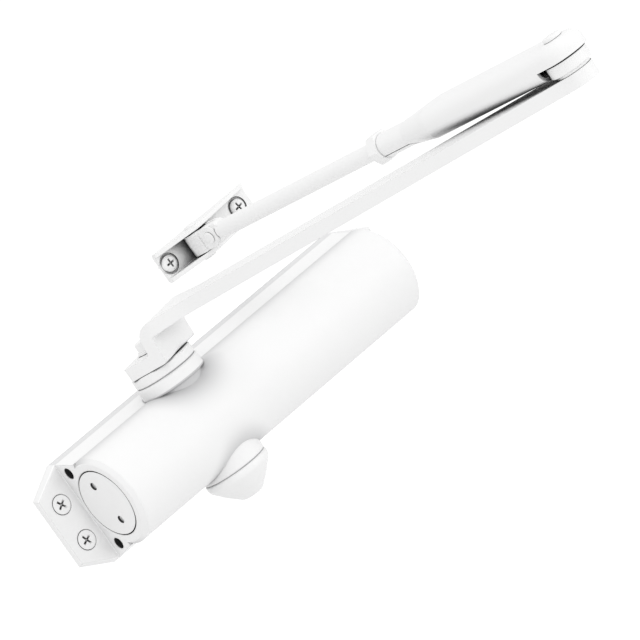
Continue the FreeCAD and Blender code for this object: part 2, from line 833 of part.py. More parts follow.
# Forearm sleeve
def wide_corners(along, inset):
    """Corners and radii of the wide sleeve section at one place along the forearm."""
    half = sleeve_width / 2 - inset
    low = sleeve_bottom + inset
    high = sleeve_top - inset
    corners = [Vector(along, -half, low), Vector(along, half, low), Vector(along, half, high)]
    corners.append(Vector(along, -half, high))
    bottom = sleeve_bottom_corner - inset
    top = sleeve_top_corner - inset
    return corners, [bottom, bottom, top, top]


def neck_wire(along, radius):
    """Round neck section, split into arcs that match the wide section's edges."""
    flat = math.radians(flat_half_angle)
    edges = []
    for side in range(4):
        middle = math.radians(90 * side - 135)
        edges.append(neck_arc(along, radius, middle - math.pi / 4 + flat, middle + math.pi / 4 - flat))
        beside = middle + math.pi / 4
        edges.append(neck_arc(along, radius, beside - flat, beside + flat))
    return Part.Wire(edges)


def neck_arc(along, radius, start, end):
    """Arc of the neck section between two turns."""
    turns = (start, (start + end) / 2, end)
    height = sleeve_axis_height
    points = [Vector(along, radius * math.cos(turn), height + radius * math.sin(turn)) for turn in turns]
    return Part.Arc(*points).toShape()


def sleeve_form(inset, neck_radius, past_end):
    """Solid form of the sleeve, drawn in by the sheet thickness for its inside."""
    corners, radii = wide_corners(0, inset)
    wide = rounded_prism(corners, radii, Vector(sleeve_wide_length, 0, 0))
    corners, radii = wide_corners(sleeve_wide_length, inset)
    sections = [rounded_wire(corners, radii), neck_wire(sleeve_neck_start, neck_radius)]
    taper = Part.makeLoft(sections, True, True)
    neck_run = Vector(sleeve_neck_length + past_end, 0, 0)
    neck = Part.Face(neck_wire(sleeve_neck_start, neck_radius)).extrude(neck_run)
    half = sleeve_width / 2 - inset
    low = sleeve_bottom + inset
    high = sleeve_top - inset
    half_corners = [Vector(0, 0, low), Vector(0, half, low), Vector(0, half, high), Vector(0, 0, high)]
    half_radii = [0, sleeve_bottom_corner - inset, sleeve_top_corner - inset, 0]
    nose_face = Part.Face(rounded_wire(half_corners, half_radii))
    nose = nose_face.revolve(Vector(), Vector(0, 0, 1), 180)
    return wide.fuse([taper, neck, nose])


def make_forearm_sleeve():
    """Pressed sleeve with a rounded nose, an open underside and a rolled neck."""
    neck_inner = rod_radius + running_gap
    outer = sleeve_form(0, neck_inner + sleeve_sheet, 0)
    inner = sleeve_form(sleeve_sheet, neck_inner, overcut)
    low = sleeve_bottom - overcut
    nose_low = Vector(-sleeve_width, -sleeve_width, low)
    nose_cut = block(nose_low, Vector(nose_cut_length, sleeve_width, skirt_end))
    spacer_cut = bar(spacer_radius + spacer_room, Vector(0, 0, low), Vector(0, 0, skirt_end))
    half_slot = slot_width / 2
    slot_high = sleeve_bottom + slot_depth
    slot_end = sleeve_wide_length + slot_into_taper
    plan = [Vector(0, -half_slot, low), Vector(slot_end, -half_slot, low)]
    plan += [Vector(slot_end, half_slot, low), Vector(0, half_slot, low)]
    slot = rounded_prism(plan, [0, half_slot, half_slot, 0], Vector(0, 0, slot_high - low))
    half_seam = seam_width / 2
    seam_low = Vector(sleeve_length - seam_length, 0, -half_seam)
    seam = block(seam_low, Vector(sleeve_length + overcut, sleeve_width, half_seam))
    seam = placed(seam, Vector(0, 0, sleeve_axis_height), Rotation(Vector(1, 0, 0), seam_angle))
    pin_low = Vector(0, 0, skirt_end)
    pin_high = Vector(0, 0, sleeve_top + overcut)
    pin_hole = bar(elbow_pin_radius + running_gap, pin_low, pin_high)
    sleeve = outer.cut([inner, nose_cut, spacer_cut, slot, seam, pin_hole])
    return placed(sleeve, forearm_place.Base, forearm_place.Rotation)


# Lock nut and rod
def make_lock_nut():
    """Hex nut on the rod, against the neck of the sleeve."""
    start = sleeve_length + nut_gap
    bore = bar(rod_radius + running_gap, Vector(0, 0, -overcut), Vector(0, 0, nut_height + overcut))
    nut = placed(hexagon(nut_flats, 0, nut_height).cut(bore), Vector(), Rotation(Vector(0, 0, 1), nut_turn))
    nut = placed(nut, Vector(start, 0, sleeve_axis_height), along_x)
    return placed(nut, forearm_place.Base, forearm_place.Rotation)


def make_forearm_rod():
    """Round rod, flattened to a tongue at its eye."""
    tongue_end = forearm_span - pin_radius - face_gap
    tongue_start = tongue_end - tongue_length
    axis = sleeve_axis_height
    shaft_end = forearm_span - eye_leg_length - face_gap
    shaft = bar(rod_radius, Vector(rod_inside, 0, axis), Vector(shaft_end, 0, axis))
    half = pin_radius + running_gap - press_gap
    half_height = tongue_height / 2 - face_gap
    side = [Vector(tongue_start, -half, axis - half_height), Vector(tongue_end, -half, axis - half_height)]
    side += [Vector(tongue_end, -half, axis + half_height), Vector(tongue_start, -half, axis + half_height)]
    tongue = rounded_prism(side, [tongue_corner, 0, 0, tongue_corner], Vector(0, 2 * half, 0))
    place = rivet_place(half)
    hole = bar(rivet_radius + press_gap, place[0], place[1])
    return placed(shaft.fuse(tongue).cut(hole), forearm_place.Base, forearm_place.Rotation)


def rivet_place(half_width):
    """Both ends of the eye rivet, half_width each side of the rod's axis."""
    along = forearm_span - rivet_setback
    low = Vector(along, -half_width, sleeve_axis_height)
    high = Vector(along, half_width, sleeve_axis_height)
    return low, high


def make_rod_eye():
    """Strap wrapped round the bracket pin, with two legs beside the rod's tongue."""
    inner = pin_radius + running_gap
    half_height = tongue_height / 2
    low = sleeve_axis_height - half_height
    start = forearm_span - eye_leg_length
    end = forearm_span + eye_radius
    plan = [Vector(start, -eye_radius, low), Vector(end, -eye_radius, low)]
    plan += [Vector(end, eye_radius, low), Vector(start, eye_radius, low)]
    up = Vector(0, 0, tongue_height)
    eye = rounded_prism(plan, [0, eye_radius, eye_radius, 0], up)
    side = [Vector(start, -eye_radius, low), Vector(end, -eye_radius, low)]
    side += [Vector(end, -eye_radius, low + tongue_height), Vector(start, -eye_radius, low + tongue_height)]
    across = Vector(0, 2 * eye_radius, 0)
    eye = eye.common(rounded_prism(side, [eye_leg_corner, 0, 0, eye_leg_corner], across))
    pin_hole = bar(inner, Vector(forearm_span, 0, low), Vector(forearm_span, 0, low + tongue_height))
    gap = block(Vector(start, -inner, low), Vector(forearm_span, inner, low + tongue_height))
    place = rivet_place(eye_radius)
    rivet_hole = bar(rivet_radius + press_gap, place[0], place[1])
    shoulder = forearm_span - eye_shoulder
    steps = []
    for near, far in ((leg_half, eye_radius), (-eye_radius, -leg_half)):
        steps.append(block(Vector(start, near, low), Vector(shoulder, far, low + tongue_height)))
    eye = eye.cut([pin_hole, gap, rivet_hole] + steps)
    return placed(eye, forearm_place.Base, forearm_place.Rotation)


def make_eye_rivet():
    """Rivet across the rod eye, with a flat head on each side."""
    shank = rivet_place(leg_half)
    heads = rivet_place(leg_half + rivet_head_height)
    rivet = bar(rivet_radius, shank[0], shank[1])
    for head, neck in zip(heads, shank):
        rivet = rivet.fuse(bar(rivet_head_radius, head, neck))
    return placed(rivet, forearm_place.Base, forearm_place.Rotation)


# Frame bracket
def bracket_screw_places():
    """The two bracket screw places on the bracket's back face."""
    middle = pivot_x + bracket_screw_offset
    return [Vector(middle + hand * bracket_screw_pitch / 2, 0, bracket_z) for hand in (-1, 1)]


def make_frame_bracket():
    """U-shaped bracket with pointed walls that carry the pivot pin."""
    left = pivot_x - bracket_left
    right = pivot_x + bracket_right
    reach = -pivot_depth - bracket_nose
    low = bracket_z - bracket_height / 2
    high = bracket_z + bracket_height / 2
    end_view = [Vector(left, 0, low), Vector(left, 0, high)]
    end_view += [Vector(left, reach, high), Vector(left, reach, low)]
    radii = [bracket_bend_radius, bracket_bend_radius, 0, 0]
    channel = rounded_prism(end_view, radii, Vector(right - left, 0, 0))
    room_low = Vector(left, reach, low + bracket_wall)
    channel = channel.cut(block(room_low, Vector(right, -bracket_base, high - bracket_wall)))
    plan = [Vector(left, 0, low), Vector(left, -bracket_end_depth, low), Vector(pivot_x, reach, low)]
    plan += [Vector(right, -bracket_end_depth, low), Vector(right, 0, low)]
    trim = rounded_prism(plan, [0, 0, bracket_nose_radius, 0, 0], Vector(0, 0, bracket_height))
    bracket = channel.common(trim)
    pin_top = Vector(pivot_x, -pivot_depth, high)
    cuts = [bar(pin_radius + press_gap, Vector(pivot_x, -pivot_depth, low), pin_top)]
    for at in bracket_screw_places():
        inside = at - Vector(0, bracket_base, 0)
        cuts.append(bar(pan_shank_radius + hole_gap, inside, at))
        cuts.append(bar(bracket_dimple_radius, inside, inside + Vector(0, bracket_dimple_depth, 0)))
    return bracket.cut(cuts)


def make_bracket_pin():
    """Upright pin through both walls of the bracket and the rod eye."""
    half = bracket_height / 2 + pin_overhang
    at = Vector(pivot_x, -pivot_depth, bracket_z)
    return bar(pin_radius, at - Vector(0, 0, half), at + Vector(0, 0, half))


def make_bracket_screws():
    """Two pan-head screws that hold the bracket to a door frame."""
    seat = bracket_base - bracket_dimple_depth
    screws = []
    for at in bracket_screw_places():
        outline = [(0, seat + pan_head_height), (pan_head_radius, seat + pan_head_height)]
        outline += [(pan_head_radius, seat), (pan_neck_radius, seat), (pan_neck_radius, -screw_neck_past)]
        outline += [(pan_shank_radius, -screw_neck_past), (pan_shank_radius, -pan_reach)]
        outline += [(0, -pan_reach - screw_point)]
        screws.append(placed(turned(outline), at, Rotation(Vector(1, 0, 0), 90)))
    return Part.makeCompound(screws)


os.makedirs("parts", exist_ok=True)
save("housing", make_housing())
save("body_screws", make_body_screws())
save("valve_end_plug", make_plug(-1))
save("spring_end_plug", make_plug(1))
save("valve_end_oring", make_plug_oring(-1))
save("spring_end_oring", make_plug_oring(1))
save("upper_valve_screw", make_valve_screw(1))
save("lower_valve_screw", make_valve_screw(-1))
save("upper_valve_oring", make_valve_oring(1))
save("lower_valve_oring", make_valve_oring(-1))
save("pinion_spindle", make_spindle())
save("upper_bearing", make_bearing(1))
save("lower_bearing", make_bearing(-1))
save("upper_seal", make_seal(1))
save("lower_seal", make_seal(-1))
save("bearing_cover", make_bearing_cover())
save("bottom_cap", make_bottom_cap())
save("rack_piston", make_piston())
save("check_valve_ball", make_check_ball())
save("check_valve_retainer", make_check_retainer())
save("main_spring", make_spring())
save("main_arm", make_main_arm())
save("arm_washer", make_arm_washer())
save("arm_bolt", make_arm_bolt())
save("elbow_pin", make_elbow_pin())
save("elbow_spacer", make_elbow_spacer())
save("forearm_sleeve", make_forearm_sleeve())
save("lock_nut", make_lock_nut())
save("forearm_rod", make_forearm_rod())
save("rod_eye", make_rod_eye())
save("eye_rivet", make_eye_rivet())
save("frame_bracket", make_frame_bracket())
save("bracket_pin", make_bracket_pin())
save("bracket_screws", make_bracket_screws())
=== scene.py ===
import bmesh
import bpy
import json
import math
from mathutils import Matrix, Vector

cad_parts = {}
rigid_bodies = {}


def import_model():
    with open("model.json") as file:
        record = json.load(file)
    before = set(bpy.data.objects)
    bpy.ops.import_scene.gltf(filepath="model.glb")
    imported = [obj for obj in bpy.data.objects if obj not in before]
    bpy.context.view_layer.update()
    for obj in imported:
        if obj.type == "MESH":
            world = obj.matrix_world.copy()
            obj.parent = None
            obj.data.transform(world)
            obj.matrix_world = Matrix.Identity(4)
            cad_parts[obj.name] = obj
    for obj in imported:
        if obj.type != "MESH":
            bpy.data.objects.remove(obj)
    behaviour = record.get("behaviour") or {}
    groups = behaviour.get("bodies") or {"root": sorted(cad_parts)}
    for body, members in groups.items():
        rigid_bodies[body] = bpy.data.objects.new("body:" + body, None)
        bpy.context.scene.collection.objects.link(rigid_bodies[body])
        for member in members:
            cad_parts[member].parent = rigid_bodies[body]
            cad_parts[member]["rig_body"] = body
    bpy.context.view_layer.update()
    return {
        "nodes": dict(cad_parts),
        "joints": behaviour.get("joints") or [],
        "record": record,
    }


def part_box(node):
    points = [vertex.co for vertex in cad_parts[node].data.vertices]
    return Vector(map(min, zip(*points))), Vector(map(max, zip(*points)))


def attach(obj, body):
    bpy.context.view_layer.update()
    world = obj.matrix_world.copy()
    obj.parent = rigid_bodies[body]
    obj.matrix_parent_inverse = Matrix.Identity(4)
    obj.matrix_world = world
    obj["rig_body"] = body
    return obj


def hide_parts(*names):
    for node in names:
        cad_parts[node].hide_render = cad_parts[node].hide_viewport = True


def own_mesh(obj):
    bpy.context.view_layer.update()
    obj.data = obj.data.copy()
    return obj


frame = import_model()
nodes = frame["nodes"]
joints = {joint["name"]: joint for joint in frame["joints"]}
mounts = {mount["name"]: mount for mount in frame["record"]["mounts"]}
mm = 0.001
up = Vector((0.0, 0.0, 1.0))
into_door = Vector((0.0, 1.0, 0.0))

# Camera, fitted to the photograph's edges
view_turn = math.radians(-32.07)
view_rise = math.radians(8.0)
view_roll = math.radians(35.28)
view_distance = 3.0
focal_pixels = 6944.3
image_pixels = 640
sensor_width = 36.0
aim = Vector((0.0, -100.0, 20.0)) * mm
aim_right = 4.84 * mm
aim_down = 3.99 * mm

# Light and floor
studio_light = 0.93
floor_glow = 0.35
floor_size = 14.0
floor_height = -0.26
lamps = {
    "key_lamp": ((1.6, -1.8, 0.3), 1.2, 7.0),
    "top_lamp": ((0.2, -0.5, 2.2), 1.5, 5.0),
    "fill_lamp": ((-1.3, -2.3, 0.4), 1.6, 9.0),
}

# Sizes below are in millimetres
# Body screws, countersunk
screw_head = 4.38
screw_rim = 0.4
screw_neck = 2.1
screw_core = 1.8
screw_crest = 2.38
screw_thread_start = 6.2
screw_turns = 3
screw_turned = math.radians(22.0)

# Bracket screws, with pan heads
pan_head = 3.85
pan_height = 2.4
pan_edge = 0.8
pan_neck = 1.8
pan_core = 1.5
pan_crest = 2.08
pan_thread_start = 3.9
pan_turns = 2
pan_turned = math.radians(2.0)
one_row = 1.0

# Both kinds of screw
thread_pitch = 1.8
tip_room = 0.1
turned_step = math.radians(8.6)
cross_reach = 0.6
cross_wing = 0.12
cross_depth = 1.8
cross_rows = ((1.0, 0.0), (0.76, 0.6), (0.4, 1.0))
cross_hub = 0.05

# Hex nut and bolt
hex_chamfer_slope = 0.55
hex_face = 0.97
nut_flats = 12.96
nut_half = 2.98
nut_bore = 4.35
nut_lead = 0.7
bolt_flats = 9.97
bolt_face = 4.0
bolt_room = 0.15
bolt_shank = 2.9
bolt_lead = 0.6
bolt_turned = math.radians(22.5)

# End plugs
plug_room = 0.36
groove_depth = 1.6
groove_start = 2.2
groove_end = 3.8
spanner_pitch = 18.6
spanner_radius = 1.9
spanner_depth = 1.5
spanner_lead = 0.2
spanner_tilt = math.radians(8.7)

# Closing spring
spring_radius = 12.2
spring_wire = 2.25
spring_turns = 8

# Painted highlights and painted shade on the body
plate_front = 5.3
plate_bevel = 1.1
shelf_width = 12.7
plug_bore = 16.85
valve_bore = 2.95

# Limits between which these painted highlights and painted shade fade, in metres
soft_step = 0.1 * mm
shelf_heights = (21.3 * mm, 25.0 * mm)
crease_fade = 15 * mm
crease_heights = (16 * mm, 22.6 * mm)
collar_reach = (13 * mm, 27 * mm)
collar_rise = (3 * mm, 19 * mm)
collar_top = (22.5 * mm, 22.6 * mm)
boss_reach = (14 * mm, 24 * mm)
boss_ring = (15.8 * mm, 30 * mm)
boss_drop = 14 * mm
strip_depths = (-1 * mm, plate_front * mm)
strip_heights = (24.5 * mm, 24.7 * mm)
corner_reach = 1.5 * mm
corner_openness = (0.6, 0.85)
gap_reach = 3 * mm
gap_openness = (0.12, 0.42)
bore_depths = (0.2 * mm, 14 * mm)
whole_barrel = 1.0

# Colours
white = (0.89, 0.89, 0.89)
thin_white = (0.86, 0.86, 0.86)
# Painted highlight on edges and bevels
painted_highlight_white = (0.98, 0.98, 0.98)
# Painted light on the shelves beside the barrel
painted_light_shelf_white = (0.9, 0.9, 0.9)
# Painted shade on the top strip of the back plate
painted_shade_strip_grey = (0.74, 0.74, 0.744)
# Painted shade beside the crease, under the collar and around the lower boss
painted_shade_crease_grey = (0.6, 0.6, 0.605)
# Painted shade in corners, and in the cap's gaps
painted_shade_corner_grey = (0.55, 0.55, 0.555)
# Painted shade in the gaps and corners on the barrel
painted_shade_barrel_gap_grey = (0.46, 0.46, 0.465)
# Painted shade where faces close in, and in the body's gaps beyond the barrel's ends
painted_shade_deep_grey = (0.1, 0.1, 0.102)
# Painted shadow in narrow gaps
painted_shadow_gap_black = (0.015, 0.015, 0.016)
# Bare metal of unpainted hole walls, darkened to near black as painted shade
bare_metal_and_shade_black = (0.03, 0.03, 0.031)


def make_camera():
    """Camera at the photograph's angle, rolled as the photograph is."""
    level_back = Vector((math.sin(view_turn), -math.cos(view_turn), 0.0))
    back = math.cos(view_rise) * level_back + math.sin(view_rise) * up
    level = Vector((math.cos(view_turn), math.sin(view_turn), 0.0))
    upright = back.cross(level)
    image_right = math.cos(view_roll) * level - math.sin(view_roll) * upright
    image_up = math.sin(view_roll) * level + math.cos(view_roll) * upright
    data = bpy.data.cameras.new("photo_camera")
    data.sensor_width = sensor_width
    data.lens = focal_pixels / image_pixels * sensor_width
    data.clip_end = 50.0
    camera = bpy.data.objects.new("photo_camera", data)
    turn = Matrix((image_right, image_up, back)).transposed().to_4x4()
    place = aim + image_right * aim_right - image_up * aim_down + back * view_distance
    camera.matrix_world = Matrix.Translation(place) @ turn
    bpy.context.scene.collection.objects.link(camera)
    bpy.context.scene.camera = camera


# Finishes; the powder coats carry painted highlights and painted shade
class Value:
    """One socket of a node tree; arithmetic on it adds Math nodes."""

    def __init__(self, tree, socket):
        self.tree = tree
        self.socket = socket

    def node(self, kind, settings, sockets, output=0):
        """One output of a new node, with its settings made before its sockets."""
        made = self.tree.nodes.new(kind)
        for name, setting in settings.items():
            setattr(made, name, setting)
        for name, value in sockets.items():
            if isinstance(value, Value):
                self.tree.links.new(value.socket, made.inputs[name])
            else:
                made.inputs[name].default_value = value
        return Value(self.tree, made.outputs[output])

    def math(self, operation, first, second=0.0):
        return self.node("ShaderNodeMath", {"operation": operation}, {0: first, 1: second})

    def __add__(self, other):
        return self.math("ADD", self, other)

    def __sub__(self, other):
        return self.math("SUBTRACT", self, other)

    def __rsub__(self, other):
        return self.math("SUBTRACT", other, self)

    def __mul__(self, other):
        return self.math("MULTIPLY", self, other)

    __radd__ = __add__
    __rmul__ = __mul__

    def limited(self, low, high):
        """This value stretched so that low becomes 0 and high becomes 1, and held there."""
        settings = {"interpolation_type": "SMOOTHSTEP"}
        sockets = {"Value": self, "From Min": low, "From Max": high}
        return self.node("ShaderNodeMapRange", settings, sockets)

    def noise(self, size, detail=2.0):
        """Cloudy pattern with spots of about this size, from 0 to 1."""
        sockets = {"Vector": self, "Scale": 1.0 / size, "Detail": detail}
        return self.node("ShaderNodeTexNoise", {}, sockets)

    def mapped(self, shift, turn, scale):
        """These coordinates moved, turned and scaled."""
        sockets = {"Vector": self, "Location": shift, "Rotation": turn, "Scale": scale}
        return self.node("ShaderNodeMapping", {}, sockets)

    def radius(self, axis_at, scale):
        """Distance from a line through axis_at, along the axis that scale leaves out."""
        shift = tuple(-at * size for at, size in zip(axis_at, scale))
        spread = self.mapped(shift, (0.0, 0.0, 0.0), scale)
        return self.node("ShaderNodeVectorMath", {"operation": "LENGTH"}, {0: spread}, 1)

    def between(self, low, high):
        """Colour that goes from low to high with this value."""
        ends = [end if isinstance(end, Value) else (*end, 1.0) for end in (low, high)]
        sockets = {0: self, 6: ends[0], 7: ends[1]}
        return self.node("ShaderNodeMix", {"data_type": "RGBA"}, sockets, 2)


def start_finish(name, **steady):
    """New material with its steady shader values, its shader and its object coordinates."""
    material = bpy.data.materials.new(name)
    material.use_nodes = True
    tree = material.node_tree
    shader = tree.nodes["Principled BSDF"]
    for socket, value in steady.items():
        shader.inputs[socket.replace("_", " ")].default_value = value
    coordinates = tree.nodes.new("ShaderNodeTexCoord")
    return material, shader, Value(tree, coordinates.outputs["Object"])


def feed(shader, **sockets):
    """Links values to the shader's sockets."""
    for name, value in sockets.items():
        value.tree.links.new(value.socket, shader.inputs[name.replace("_", " ")])


def relief(place, height, depth, edge):
    """Normal of a surface with small height differences and softly rounded edges."""
    round_off = place.node("ShaderNodeBevel", {"samples": 6}, {"Radius": edge})
    sockets = {"Strength": 0.35, "Distance": depth, "Height": height, "Normal": round_off}
    return place.node("ShaderNodeBump", {}, sockets)


def edges(place, radius):
    """1 along outer and inner edges, 0 on open faces."""
    flat = place.node("ShaderNodeNewGeometry", {}, {}, "Normal")
    round_off = place.node("ShaderNodeBevel", {"samples": 6}, {"Radius": radius})
    settings = {"operation": "DOT_PRODUCT"}
    alike = place.node("ShaderNodeVectorMath", settings, {0: flat, 1: round_off}, "Value")
    return (1 - alike).limited(0.01, 0.14)


def openness(place, reach):
    """1 in the open, towards 0 in narrow gaps and deep recesses."""
    return place.node("ShaderNodeAmbientOcclusion", {"samples": 8}, {"Distance": reach}, 1)


def band(value, low, high):
    """1 where a value lies between two limits, with narrow soft ends."""
    return value.limited(low, low + soft_step) * (1 - value.limited(high - soft_step, high))


def below_end(place, low, high):
    """1 between two depths below the end faces of the barrel, which lie across X."""
    along = place.node("ShaderNodeSeparateXYZ", {}, {0: place}, "X")
    return band(barrel_end - along.math("ABSOLUTE", along), low, high)


def bare_shaded_bores(place):
    """1 on the unpainted walls of the plug's bore and of the two valve holes, which take near
    black bare metal that also stands in for shade.
    """
    inside = 0.0
    for axis_at, radius in bores:
        reach = place.radius(axis_at, (0.0, 1.0, 1.0))
        inside = inside + (1 - reach.limited(radius, radius + 0.05 * mm))
    return inside.math("MINIMUM", inside * below_end(place, *bore_depths), 1.0)


def bare_shaded_holes(place):
    """1 on the unpainted walls of the spanner holes, whose floors the paint reaches; the walls
    take near black bare metal that also stands in for shade.
    """
    return below_end(place, 0.15 * mm, (spanner_depth - 0.15) * mm)


def body_lines(place, coat, painted_gap_shade):
    """Coat with painted highlights on the bevels, painted light on the shelves, painted shade
    beside the crease and around the bosses, and painted shade in the corners.
    """
    front = 0 - place.node("ShaderNodeSeparateXYZ", {}, {0: place}, "Y")
    rise = place.node("ShaderNodeSeparateXYZ", {}, {0: place}, "Z")
    height = rise.math("ABSOLUTE", rise)
    around = place.radius(joints["spindle_turn"]["pos_m"], (1.0, 1.0, 0.0))
    on_barrel = below_end(place, soft_step, whole_barrel)
    crease = (plate_front + shelf_width) * mm
    # Painted highlight on the plate's front bevel beyond the barrel's ends
    bevel_highlight = band(front, (plate_front - plate_bevel) * mm, (plate_front - 0.02) * mm)
    bevel_highlight = bevel_highlight * (1 - on_barrel)
    # Painted light on the shelves
    shelf_light = band(front, plate_front * mm, crease) * band(height, *shelf_heights) * on_barrel
    # Painted shade beside the crease, under the upper collar and around the lower boss
    beside = front.limited(crease - soft_step, crease)
    beside = beside * (1 - front.limited(crease, crease + crease_fade))
    beside = beside * band(height, *crease_heights) * on_barrel
    collar = (1 - around.limited(*collar_reach)) * rise.limited(*collar_rise)
    collar = collar * (1 - height.limited(*collar_top))
    boss = (1 - around.limited(*boss_reach)) * band(around, *boss_ring)
    boss = boss * (0 - rise).limited(0.0, boss_drop)
    shade = beside.math("MAXIMUM", beside.math("MAXIMUM", beside, collar), boss)
    coat = shade.between(coat, painted_shade_crease_grey)
    coat = shelf_light.between(coat, painted_light_shelf_white)
    # Painted shade on the back plate's top strip
    strip_shade = band(front, *strip_depths) * height.limited(*strip_heights) * on_barrel
    coat = strip_shade.between(coat, painted_shade_strip_grey)
    coat = bevel_highlight.between(coat, painted_highlight_white)
    # Painted shade in the corners
    corner = 1 - openness(place, corner_reach).limited(*corner_openness)
    corner = corner * below_end(place, 1 * mm, whole_barrel)
    return corner.between(coat, painted_gap_shade)


def powder_coat(name, edge, peel, reach, painted_shade_colour, shade, painted_gap_shade, bare_and_shaded=None, rings_at=None):
    """White baked powder coat with faint orange peel and painted highlights along its edges.

    Where faces close in within reach, between the two openness values of shade, it darkens to a
    painted shade; in narrow gaps it darkens to a darker painted shade; and where the bare mask
    gives 1 it shows unpainted metal, near black as painted shade.
    """
    material, shader, place = start_finish(name, Specular_IOR_Level=0.42)
    grains = place.noise(peel * mm, 3.0)
    cover = place.noise(18 * mm, 4.0)
    specks = place.noise(0.35 * mm, 0.0)
    height = grains + specks * 0.25
    if rings_at is not None:
        turning = place.radius(rings_at, (0.0, 1.0, 1.0)) * (2 * math.pi / (0.7 * mm))
        height = height + turning.math("SINE", turning) * 0.3
    coat = (cover * 0.7 + grains * 0.3).between(thin_white, white)
    # Painted shade where faces close in
    coat = openness(place, reach * mm).limited(*shade).between(painted_shade_colour, coat)
    # Painted highlight along the edges
    coat = edges(place, edge * mm).between(coat, painted_highlight_white)
    # On the body, gaps on the barrel take a lighter painted shade, and the body takes the painted
    # highlights and shade of body_lines
    if bare_and_shaded is bare_shaded_bores:
        painted_gap_shade = below_end(place, soft_step, whole_barrel).between(painted_gap_shade, painted_shade_barrel_gap_grey)
        coat = body_lines(place, coat, painted_gap_shade)
    # Painted shadow in narrow gaps
    coat = openness(place, gap_reach).limited(*gap_openness).between(painted_gap_shade, coat)
    if bare_and_shaded is not None:
        # Unpainted metal, darkened to near black as painted shade
        coat = bare_and_shaded(place).between(coat, bare_metal_and_shade_black)
    feed(
        shader,
        Base_Color=coat,
        Roughness=0.36 + grains * 0.12 + cover * 0.06,
        Normal=relief(place, height, 0.05 * mm, edge * mm),
    )
    return material


def drawn_steel(name, dark, light, roughness, across):
    """Bare metal with fine turning or drawing lines; across is the direction over the lines."""
    material, shader, place = start_finish(name, Metallic=1.0)
    lines = place.mapped((0.0, 0.0, 0.0), (0.0, 0.0, 0.0), across).noise(0.25 * mm, 2.0)
    stains = place.noise(6 * mm, 3.0)
    feed(
        shader,
        Base_Color=(lines * 0.6 + stains * 0.4).between(dark, light),
        Roughness=roughness + lines * 0.15 + stains * 0.08,
        Normal=relief(place, lines, 0.02 * mm, 0.15 * mm),
    )
    return material


def nitrile(name):
    """Black seal rubber with a dull bloom."""
    material, shader, place = start_finish(name, Specular_IOR_Level=0.4)
    bloom = place.noise(3 * mm, 4.0)
    pores = place.noise(0.2 * mm, 1.0)
    feed(
        shader,
        Base_Color=bloom.between((0.012, 0.012, 0.013), (0.03, 0.03, 0.031)),
        Roughness=0.5 + bloom * 0.2,
        Normal=relief(place, pores, 0.03 * mm, 0.1 * mm),
    )
    return material


along_x = (0.08, 1.0, 1.0)
along_z = (1.0, 1.0, 0.08)
barrel_middle = (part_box("valve_end_plug")[0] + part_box("valve_end_plug")[1]) / 2
barrel_end = -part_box("valve_end_plug")[0].x
bores = [(barrel_middle, plug_bore * mm)]
for valve_joint in ("upper_valve_turn", "lower_valve_turn"):
    bores.append((joints[valve_joint]["pos_m"], valve_bore * mm))
finishes = {
    "body_paint": powder_coat(
        "body_powder_coat", 1.1, 0.9, 12, painted_shade_corner_grey, (0.1, 0.92), painted_shade_deep_grey, bare_shaded_bores),
    "cap_paint": powder_coat(
        "cap_powder_coat", 0.5, 0.8, 6, painted_shade_corner_grey, (0.1, 0.8), painted_shade_corner_grey),
    "plug_paint": powder_coat(
        "plug_powder_coat", 0.3, 0.8, 4, painted_shade_corner_grey, (0.1, 0.6), painted_shadow_gap_black, bare_shaded_holes,
        barrel_middle),
    "arm_paint": powder_coat(
        "arm_powder_coat", 0.4, 0.8, 12, painted_shade_deep_grey, (0.24, 0.52), painted_shadow_gap_black),
    "screw_paint": powder_coat(
        "fastener_paint", 0.25, 0.5, 3, painted_shade_corner_grey, (0.1, 0.6), painted_shadow_gap_black),
    "machined_steel": drawn_steel(
        "oiled_machined_steel", (0.42, 0.42, 0.43), (0.6, 0.6, 0.61), 0.24, along_x),
    "valve_steel": drawn_steel(
        "black_oxide_steel", (0.03, 0.03, 0.032), (0.08, 0.08, 0.084), 0.4, along_x),
    "spring_steel": drawn_steel(
        "drawn_spring_wire", (0.22, 0.22, 0.23), (0.36, 0.36, 0.37), 0.3, along_x),
    "bearing_bronze": drawn_steel(
        "bearing_bronze", (0.5, 0.34, 0.14), (0.7, 0.5, 0.25), 0.3, along_z),
    "seal_rubber": nitrile("nitrile_rubber"),
}
# The long pieces take a coat whose painted shade reaches further, dark on the sleeve's underside
long_pieces = ("main_arm", "forearm_sleeve")
long_shade_coat = powder_coat(
    "long_arm_powder_coat", 0.4, 0.8, 26, painted_shade_deep_grey, (0.26, 0.7), painted_shadow_gap_black)


def dress_nodes():
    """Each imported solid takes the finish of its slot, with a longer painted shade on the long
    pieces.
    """
    for part in frame["record"]["subparts"]:
        node = nodes[part["node"]]
        node.data.materials.clear()
        is_long = part["node"] in long_pieces
        node.data.materials.append(long_shade_coat if is_long else finishes[part["material_slot"]])


# Mesh helpers
def pairs(loop):
    """Each member of a closed loop with the one after it."""
    return zip(loop, loop[1:] + loop[:1])


def skin(bm, rows):
    """Faces between each closed row of points and the next."""
    for lower, upper in zip(rows, rows[1:]):
        for step in range(len(lower)):
            following = (step + 1) % len(lower)
            bm.faces.new((lower[step], lower[following], upper[following], upper[step]))


